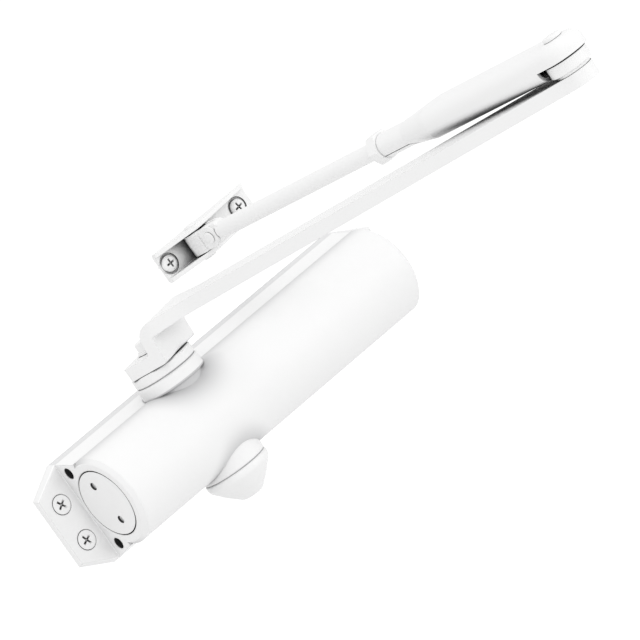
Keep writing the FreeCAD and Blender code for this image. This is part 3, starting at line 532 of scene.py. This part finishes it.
def lathe(bm, profile, segments=64):
    """Turned skin about Z through a profile of radius and height; its last rim."""
    turns = [2 * math.pi * step / segments for step in range(segments)]
    rims = []
    for radius, height in profile:
        if radius == 0:
            rims.append([bm.verts.new((0.0, 0.0, height * mm))])
            continue
        reach = radius * mm
        points = [(reach * math.cos(turn), reach * math.sin(turn), height * mm) for turn in turns]
        rims.append([bm.verts.new(point) for point in points])
    for lower, upper in zip(rims, rims[1:]):
        for step in range(segments):
            corners = [lower[step % len(lower)], lower[(step + 1) % segments % len(lower)]]
            corners += [upper[(step + 1) % segments % len(upper)], upper[step % len(upper)]]
            bm.faces.new(list(dict.fromkeys(corners)))
    return rims[-1]


def soft(profile, radius, steps=4):
    """Profile with each inner corner rounded off by about this radius."""
    points = [Vector(point) for point in profile]
    rounded = [tuple(points[0])]
    for before, corner, after in zip(points, points[1:], points[2:]):
        reach = min(radius, (before - corner).length / 2.2, (after - corner).length / 2.2)
        start = corner + (before - corner).normalized() * reach
        end = corner + (after - corner).normalized() * reach
        for step in range(steps + 1):
            share = step / steps
            rounded.append(tuple(start.lerp(corner, share).lerp(corner.lerp(end, share), share)))
    return rounded + [tuple(points[-1])]


def as_mesh(bm, name, crease=35.0):
    """Finished mesh with its normals outwards and its hard edges kept."""
    bmesh.ops.remove_doubles(bm, verts=bm.verts, dist=0.001 * mm)
    bmesh.ops.recalc_face_normals(bm, faces=bm.faces)
    mesh = bpy.data.meshes.new(name)
    bm.to_mesh(mesh)
    bm.free()
    mesh.shade_smooth()
    mesh.set_sharp_from_angle(angle=math.radians(crease))
    return mesh


def paste(bm, other, rim):
    """Copies one mesh under way into another; the edges of the rim there."""
    twins = {vert: bm.verts.new(vert.co) for vert in other.verts}
    for face in other.faces:
        bm.faces.new([twins[vert] for vert in face.verts])
    found = [bm.edges.get((twins[a], twins[b])) for a, b in pairs(rim)]
    other.free()
    return found


def seat(mesh, at, axis):
    """Moves a mesh made along Z so that its origin sits at a place and Z follows an axis."""
    turn = axis.to_track_quat("Z", "Y").to_matrix().to_4x4()
    mesh.transform(Matrix.Translation(at) @ turn)


def mount_piece(mesh, node, slot):
    """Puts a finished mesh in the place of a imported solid."""
    piece = bpy.data.objects.new(node + "_finished", mesh)
    bpy.context.scene.collection.objects.link(piece)
    mesh.materials.clear()
    mesh.materials.append(finishes[slot])
    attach(piece, nodes[node]["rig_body"])
    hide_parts(node)
    return piece


def upright_sizes(node):
    """Axis of an upright round solid, and its bottom, top and radius in millimetres."""
    low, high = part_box(node)
    middle = Vector(((low.x + high.x) / 2, (low.y + high.y) / 2, 0.0))
    return middle, low.z / mm, high.z / mm, (high.x - low.x) / mm / 2


def turned_mesh(name, profile):
    """Mesh of a plain turned piece."""
    bm = bmesh.new()
    lathe(bm, profile)
    return as_mesh(bm, name)


def mount_upright(node, slot, middle, profile):
    """Turned piece that stands on an upright axis."""
    mesh = turned_mesh(node, profile)
    mesh.transform(Matrix.Translation(middle))
    mount_piece(mesh, node, slot)


# Screws
def cross_outline(reach, wing):
    """Corners of a cross recess with arms reach long and wing wide to each side."""
    corners = []
    for quarter in range(4):
        turn = Matrix.Rotation(math.pi / 2 * quarter, 2)
        for point in ((reach, -wing), (reach, wing), (wing, wing)):
            corners.append(turn @ Vector(point))
    return corners


def screw_mesh(name, profile, face_radius, recess_top):
    """Screw along Z with a cross recess; profile runs from the tip to the face's rim."""
    bm = bmesh.new()
    rim = lathe(bm, profile, 48)
    rows = []
    for share, drop in cross_rows:
        wing = face_radius * cross_wing * (0.6 + 0.4 * share)
        outline = cross_outline(face_radius * cross_reach * share, wing)
        height = recess_top - cross_depth * drop
        points = [(point.x * mm, point.y * mm, height * mm) for point in outline]
        rows.append([bm.verts.new(point) for point in points])
    outline = [bm.edges.get(ends) for ends in pairs(rim)]
    outline += [bm.edges.new(ends) for ends in pairs(rows[0])]
    bmesh.ops.triangle_fill(bm, use_beauty=True, use_dissolve=False, edges=outline)
    skin(bm, rows)
    hub = bm.verts.new((0.0, 0.0, (recess_top - cross_hub) * mm))
    for here, following in pairs(rows[-1]):
        bm.faces.new((here, following, hub))
    return as_mesh(bm, name, 30.0)


def fastener_tree():
    """Geometry Nodes: one screw with its rolled thread, set out on a grid of holes."""
    tree = bpy.data.node_groups.new("screw_set", "GeometryNodeTree")
    tree.interface.new_socket("Geometry", in_out="OUTPUT", socket_type="NodeSocketGeometry")
    kinds = {"Screw": "Object", "Finish": "Material", "Middle": "Vector", "Rows": "Int"}
    kinds["Thread turns"] = "Int"
    for name in ("Pitch along", "Pitch across", "Core", "Crest", "Thread start", "Thread pitch",
                 "Turned", "Turned step"):
        kinds[name] = "Float"
    for name, kind in kinds.items():
        tree.interface.new_socket(name, in_out="INPUT", socket_type="NodeSocket" + kind)
    given = tree.nodes.new("NodeGroupInput")
    size = {name: Value(tree, given.outputs[name]) for name in kinds}
    start = size["Core"]

    grid = {"Size X": size["Pitch along"], "Size Y": size["Pitch across"]}
    grid.update({"Vertices X": 2, "Vertices Y": size["Rows"]})
    holes = start.node("GeometryNodeMeshGrid", {}, grid)
    stand = {"Rotation": (math.pi / 2, 0.0, 0.0), "Translation": size["Middle"]}
    holes = start.node("GeometryNodeTransform", {}, {"Geometry": holes, **stand})

    coil = {"Resolution": 20, "Rotations": size["Thread turns"]}
    coil.update({"Start Radius": size["Core"], "End Radius": size["Core"]})
    coil["Height"] = size["Thread turns"] * size["Thread pitch"]
    ridge = {"Resolution": 4, "Radius": size["Crest"] - size["Core"]}
    coil = start.node("GeometryNodeCurveSpiral", {}, coil)
    section = start.node("GeometryNodeCurvePrimitiveCircle", {"mode": "RADIUS"}, ridge)
    sweep = {"Curve": coil, "Profile Curve": section, "Fill Caps": True}
    thread = start.node("GeometryNodeCurveToMesh", {}, sweep)
    forward = start.node("ShaderNodeCombineXYZ", {}, {"Y": size["Thread start"]})
    lie = {"Rotation": (-math.pi / 2, 0.0, 0.0), "Translation": forward}
    thread = start.node("GeometryNodeTransform", {}, {"Geometry": thread, **lie})

    screw = start.node("GeometryNodeObjectInfo", {}, {"Object": size["Screw"]}, "Geometry")
    both = tree.nodes.new("GeometryNodeJoinGeometry")
    for part in (thread, screw):
        tree.links.new(part.socket, both.inputs[0])
    whole = Value(tree, both.outputs[0])
    number = start.node("GeometryNodeInputIndex", {}, {})
    turned = size["Turned"] + number * size["Turned step"]
    spin = start.node("ShaderNodeCombineXYZ", {}, {"Y": 0 - turned})
    copies = {"Points": holes, "Instance": whole, "Rotation": spin}
    rows = start.node("GeometryNodeInstanceOnPoints", {}, copies)
    rows = start.node("GeometryNodeRealizeInstances", {}, {"Geometry": rows})
    painted = {"Geometry": rows, "Material": size["Finish"]}
    rows = start.node("GeometryNodeSetMaterial", {}, painted)
    end = tree.nodes.new("NodeGroupOutput")
    tree.links.new(rows.socket, end.inputs[0])
    return tree


def set_out(tree, node, mesh, **sizes):
    """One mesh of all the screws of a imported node, set out by the tree."""
    sample = bpy.data.objects.new(node + "_sample", mesh)
    carrier = bpy.data.objects.new(node + "_carrier", bpy.data.meshes.new(node + "_carrier"))
    bpy.context.scene.collection.objects.link(carrier)
    modifier = carrier.modifiers.new("screw_set", "NODES")
    modifier.node_group = tree
    sizes["Screw"] = sample
    sizes["Finish"] = finishes["screw_paint"]
    for socket in tree.interface.items_tree:
        if socket.in_out == "INPUT":
            modifier[socket.identifier] = sizes[socket.name.replace(" ", "_")]
    graph = bpy.context.evaluated_depsgraph_get()
    group = bpy.data.meshes.new_from_object(carrier.evaluated_get(graph))
    carrier.modifiers.remove(modifier)
    bpy.data.objects.remove(carrier)
    bpy.data.objects.remove(sample)
    return group


def make_body_screws(tree):
    """Four countersunk screws, two in each flange."""
    pattern = mounts["door_mount"]["dims"]
    low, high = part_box("body_screws")
    tip = (low.y - high.y) / mm + tip_room
    neck_end = screw_rim + screw_head - screw_neck
    thread_end = -screw_thread_start - screw_turns * thread_pitch
    profile = [(0, tip), (screw_core, thread_end), (screw_core, -screw_thread_start)]
    profile += [(screw_neck, -screw_thread_start), (screw_neck, -neck_end)]
    profile += [(screw_head, -screw_rim)]
    face = [(screw_head, -screw_rim), (screw_head, 0), (screw_head - 0.4, 0)]
    profile += soft(face, 0.25)[1:]
    mesh = screw_mesh("body_screw", profile, screw_head, 0.0)
    seat(mesh, Vector(), -into_door)
    group = set_out(
        tree, "body_screws", mesh, Middle=Vector((0.0, low.y, 0.0)), Rows=2,
        Pitch_along=pattern["spacing_x_mm"] * mm, Pitch_across=pattern["spacing_y_mm"] * mm,
        Core=screw_core * mm, Crest=screw_crest * mm, Thread_start=screw_thread_start * mm,
        Thread_turns=screw_turns, Thread_pitch=thread_pitch * mm,
        Turned=screw_turned, Turned_step=turned_step,
    )
    mount_piece(group, "body_screws", "screw_paint")


def make_bracket_screws(tree):
    """Two pan-head screws in the base of the bracket."""
    bracket = mounts["frame_mount"]
    low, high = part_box("bracket_screws")
    middle = Vector(bracket["pos_m"])
    middle.y = low.y
    tip = (low.y - high.y) / mm + tip_room
    thread_end = -pan_thread_start - pan_turns * thread_pitch
    profile = [(0, tip), (pan_core, thread_end), (pan_core, -pan_thread_start)]
    profile += [(pan_neck, -pan_thread_start), (pan_neck, -pan_height)]
    flank = [(pan_neck, -pan_height), (pan_head, -pan_height), (pan_head, -pan_edge)]
    flank += [(pan_head * 0.66, 0), (pan_head * 0.62, 0)]
    profile += soft(flank, 0.7)[1:]
    mesh = screw_mesh("bracket_screw", profile, pan_head, 0.0)
    seat(mesh, Vector(), -into_door)
    group = set_out(
        tree, "bracket_screws", mesh, Middle=middle, Rows=1,
        Pitch_along=bracket["dims"]["spacing_x_mm"] * mm, Pitch_across=one_row * mm,
        Core=pan_core * mm, Crest=pan_crest * mm, Thread_start=pan_thread_start * mm,
        Thread_turns=pan_turns, Thread_pitch=thread_pitch * mm,
        Turned=pan_turned, Turned_step=turned_step,
    )
    mount_piece(group, "bracket_screws", "screw_paint")


# Nut and bolt
def hex_rims(bm, flats, low, high, chamfered, bore):
    """Skin of a hexagon along Z whose corners are turned off at the chamfered ends."""
    segments = 72
    apothem = flats / 2
    turns = [2 * math.pi * step / segments for step in range(segments)]
    corner = math.pi / 3
    across = [apothem / math.cos((turn + corner / 2) % corner - corner / 2) for turn in turns]
    rims = []
    for end, sign in ((low, 1), (high, -1)):
        drop = hex_chamfer_slope * sign if end in chamfered else 0.0
        outer = [(radius, end + (radius - apothem * hex_face) * drop) for radius in across]
        face = [(apothem * hex_face if drop else radius, end) for radius in across]
        inner = [(bore, end)] * segments
        rims += [inner, face, outer] if sign > 0 else [outer, face, inner]
    rows = []
    for rim in rims:
        points = [
            (radius * mm * math.cos(turn), radius * mm * math.sin(turn), height * mm)
            for (radius, height), turn in zip(rim, turns)
        ]
        rows.append([bm.verts.new(point) for point in points])
    skin(bm, rows)
    return rows


def make_lock_nut():
    """Chamfered hex nut on the rod, with a countersunk bore."""
    low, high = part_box("lock_nut")
    axis = Vector(joints["nut_turn"]["axis"])
    mouth = nut_bore + nut_lead
    bm = bmesh.new()
    rows = hex_rims(bm, nut_flats, -nut_half, nut_half, (-nut_half, nut_half), mouth)
    lead = [(mouth, -nut_half), (nut_bore, -nut_half + nut_lead)]
    lead += [(nut_bore, nut_half - nut_lead), (mouth, nut_half)]
    lathe(bm, lead, len(rows[0]))
    mesh = as_mesh(bm, "lock_nut", 24.0)
    mesh.transform(Matrix.Rotation(math.pi / 6, 4, "Z"))
    seat(mesh, (low + high) / 2, axis)
    mount_piece(mesh, "lock_nut", "screw_paint")


def make_arm_bolt():
    """Hex bolt with a turned-off head and a plain shank in the spindle."""
    middle, bottom, top, _ = upright_sizes("arm_bolt")
    face = top - bolt_room
    seat_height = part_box("arm_washer")[1].z / mm
    bm = bmesh.new()
    rows = hex_rims(bm, bolt_flats, seat_height, face, (face,), bolt_face)
    for rim in (rows[0], rows[-1]):
        bm.faces.new(rim)
    profile = [(0, bottom), (bolt_shank - bolt_lead, bottom), (bolt_shank, bottom + bolt_lead)]
    lathe(bm, profile + [(bolt_shank, seat_height), (0, seat_height)])
    mesh = as_mesh(bm, "arm_bolt", 24.0)
    mesh.transform(Matrix.Translation(middle) @ Matrix.Rotation(bolt_turned, 4, "Z"))
    mount_piece(mesh, "arm_bolt", "screw_paint")


# Turned pieces
def make_plug(node, outward):
    """Screwed end plug with a seal groove, a broken edge and two shallow spanner holes."""
    low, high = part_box(node)
    length = (high.x - low.x) / mm
    radius = (high.z - low.z) / mm / 2 - plug_room
    groove = radius - groove_depth
    profile = [(0, 0), (radius, 0), (radius, groove_start), (groove, groove_start)]
    profile += [(groove, groove_end), (radius, groove_end)]
    profile += soft([(radius, groove_end), (radius, length), (radius - 0.6, length)], 0.3)[1:]
    bm = bmesh.new()
    rim = lathe(bm, profile, 96)
    edges_left = [bm.edges.get(ends) for ends in pairs(rim)]
    floor = length - spanner_depth
    wall = [(0, floor), (spanner_radius, floor), (spanner_radius, length - spanner_lead)]
    wall += [(spanner_radius + spanner_lead, length)]
    across = Vector((math.cos(spanner_tilt), math.sin(spanner_tilt), 0.0))
    for hand in (-1, 1):
        hole = bmesh.new()
        mouth = lathe(hole, wall, 32)
        at = across * hand * spanner_pitch / 2
        bmesh.ops.translate(hole, verts=hole.verts, vec=at * mm)
        edges_left += paste(bm, hole, mouth)
    bmesh.ops.triangle_fill(bm, use_beauty=True, use_dissolve=False, edges=edges_left)
    mesh = as_mesh(bm, node)
    middle = (low + high) / 2
    middle.x = low.x if outward > 0 else high.x
    turn = Matrix.Rotation(outward * math.pi / 2, 4, "Y")
    mesh.transform(Matrix.Translation(middle) @ turn)
    mount_piece(mesh, node, "plug_paint")


def make_washer():
    """Pressed washer with rounded edges under the arm bolt."""
    middle, bottom, top, rim = upright_sizes("arm_washer")
    bore = 3.2
    ring = [(bore, bottom), (rim, bottom), (rim, top), (bore, top)]
    mount_upright("arm_washer", "screw_paint", middle, soft(ring, 0.45) + [(bore, bottom)])


def make_elbow_spacer():
    """Stepped spacer of the elbow: broad ring on a lower step, with a neck up into the sleeve."""
    middle, bottom, top, rim = upright_sizes("elbow_spacer")
    bore, step, neck = 3.45, 8.2, 6.0
    shoulder = bottom + 6.9
    ring = [(bore, bottom), (step, bottom), (step, bottom + 1.3), (rim, bottom + 1.6)]
    ring += [(rim, shoulder), (neck, shoulder), (neck, top), (bore, top)]
    mount_upright("elbow_spacer", "arm_paint", middle, soft(ring, 0.3) + [(bore, bottom)])


def make_elbow_pin():
    """Elbow rivet with a softly edged head and a peened countersunk foot."""
    middle, bottom, top, _ = upright_sizes("elbow_pin")
    shank, head, foot = 3.35, 4.38, 5.1
    under = top - 1.7
    profile = [(0, bottom), (foot, bottom), (shank, bottom + 1.8), (shank, under), (head, under)]
    profile += soft([(head, under), (head, top), (head * 0.3, top)], 0.7)[1:]
    dimple = [(0.7, top), (0.35, top - 0.25), (0, top - 0.3)]
    mount_upright("elbow_pin", "screw_paint", middle, profile + dimple)


def make_eye_rivet():
    """Rivet across the rod eye with two domed heads."""
    low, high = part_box("eye_rivet")
    axis = Vector(joints["nut_turn"]["axis"]).cross(up)
    half, leg = 5.55, 4.65
    shank, head = 1.78, 2.68
    dome = soft([(head, leg), (head, half - 0.1), (head * 0.55, half), (0, half)], 0.6)
    profile = [(radius, -height) for radius, height in reversed(dome)]
    profile += [(shank, -leg), (shank, leg)] + dome
    mesh = turned_mesh("eye_rivet", profile)
    seat(mesh, (low + high) / 2, axis)
    mount_piece(mesh, "eye_rivet", "screw_paint")


def make_bottom_cap():
    """Hollow cap with a softly rounded cone."""
    middle, tip, start, rim = upright_sizes("bottom_cap")
    bore = 13.7
    seat_face, inner_tip = start - 3.6, tip + 2.2
    outline = [(0, tip), (5.0, tip), (11.05, tip + 5.6), (rim, start - 3.3), (rim, start)]
    outline += [(bore, start)]
    inside = [(bore, seat_face), (11.4, seat_face), (2.9, inner_tip), (0, inner_tip)]
    mount_upright("bottom_cap", "cap_paint", middle, soft(outline, 1.2, 5) + inside)


def make_spring():
    """Round-wire closing spring with ground ends."""
    low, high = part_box("main_spring")
    middle = (low + high) / 2
    length = high.x - low.x
    steps, sides = spring_turns * 36, 16
    bm = bmesh.new()
    rings = []
    for step in range(steps + 1):
        turn = 2 * math.pi * spring_turns * step / steps
        ring = []
        for side in range(sides):
            around = 2 * math.pi * side / sides
            reach = (spring_radius + spring_wire * math.cos(around)) * mm
            along = low.x + length * step / steps + spring_wire * mm * math.sin(around)
            along = min(max(along, low.x), high.x)
            across = middle.y + reach * math.sin(turn)
            ring.append(bm.verts.new((along, across, middle.z + reach * math.cos(turn))))
        rings.append(ring)
    skin(bm, rings)
    for ring in (rings[0], rings[-1]):
        bm.faces.new(ring)
    piece = mount_piece(as_mesh(bm, "main_spring"), "main_spring", "spring_steel")
    ranges = {
        joint["name"]: joint["range_m"]
        for joint in frame["record"]["behaviour"]["joints"] if "range_m" in joint
    }
    travel = ranges["piston_slide"][1]
    1 - travel / length
    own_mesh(piece)


# Floor, background and light
def seen_rays(start):
    """1 for rays that the eye sees, straight or mirrored, and 0 for the light on the part."""
    rays = start.tree.nodes.new("ShaderNodeLightPath")
    names = ("Is Camera Ray", "Is Glossy Ray", "Is Transmission Ray")
    straight, glossy, through = [Value(start.tree, rays.outputs[name]) for name in names]
    return straight.math("MAXIMUM", straight.math("MAXIMUM", straight, glossy), through)


def make_floor():
    """Plain pale floor below the part that shows its shadow on white."""
    bpy.ops.mesh.primitive_grid_add(x_subdivisions=4, y_subdivisions=4, size=floor_size)
    floor = bpy.context.object
    floor.name = "studio_floor"
    floor.location = (0.0, 0.0, floor_height)
    material, shader, place = start_finish(
        "studio_floor", Roughness=0.95, Specular_IOR_Level=0.0)
    feed(shader, Base_Color=place.noise(0.4, 2.0).between((0.8, 0.8, 0.8), (0.82, 0.82, 0.82)))
    tree = material.node_tree
    paper = Value(tree, shader.outputs[0])
    glow = {"Color": (1.0, 1.0, 1.0, 1.0), "Strength": floor_glow}
    glow = paper.node("ShaderNodeEmission", {}, glow)
    bright = paper.node("ShaderNodeAddShader", {}, {0: paper, 1: glow})
    shown = paper.node("ShaderNodeMixShader", {}, {0: seen_rays(paper), 1: paper, 2: bright})
    tree.links.new(shown.socket, tree.nodes["Material Output"].inputs["Surface"])
    floor.data.materials.append(material)


def make_world():
    """Even studio light, plain white where the camera looks past the part."""
    world = bpy.data.worlds.new("studio")
    bpy.context.scene.world = world
    world.use_nodes = True
    tree = world.node_tree
    light = tree.nodes["Background"]
    light.inputs["Color"].default_value = (1.0, 1.0, 1.0, 1.0)
    light.inputs["Strength"].default_value = studio_light
    even = Value(tree, light.outputs[0])
    backdrop = {"Color": (1.0, 1.0, 1.0, 1.0), "Strength": 1.0}
    backdrop = even.node("ShaderNodeBackground", {}, backdrop)
    shown = even.node("ShaderNodeMixShader", {}, {0: seen_rays(even), 1: even, 2: backdrop})
    tree.links.new(shown.socket, tree.nodes["World Output"].inputs["Surface"])


def make_lamp(name, place, size, power):
    """Large soft lamp that faces the part."""
    data = bpy.data.lights.new(name, "AREA")
    data.size = size
    data.energy = power
    lamp = bpy.data.objects.new(name, data)
    lamp.location = place
    lamp.rotation_euler = (aim - Vector(place)).to_track_quat("-Z", "Y").to_euler()
    bpy.context.scene.collection.objects.link(lamp)


make_camera()
dress_nodes()
screw_tree = fastener_tree()
make_body_screws(screw_tree)
make_bracket_screws(screw_tree)
make_lock_nut()
make_arm_bolt()
make_plug("valve_end_plug", -1)
make_plug("spring_end_plug", 1)
make_washer()
make_elbow_spacer()
make_elbow_pin()
make_eye_rivet()
make_bottom_cap()
make_spring()
make_floor()
make_world()
for lamp_name, (lamp_place, lamp_size, lamp_power) in lamps.items():
    make_lamp(lamp_name, lamp_place, lamp_size, lamp_power)

bpy.context.scene.view_settings.view_transform = "Standard"
bpy.context.view_layer.update()
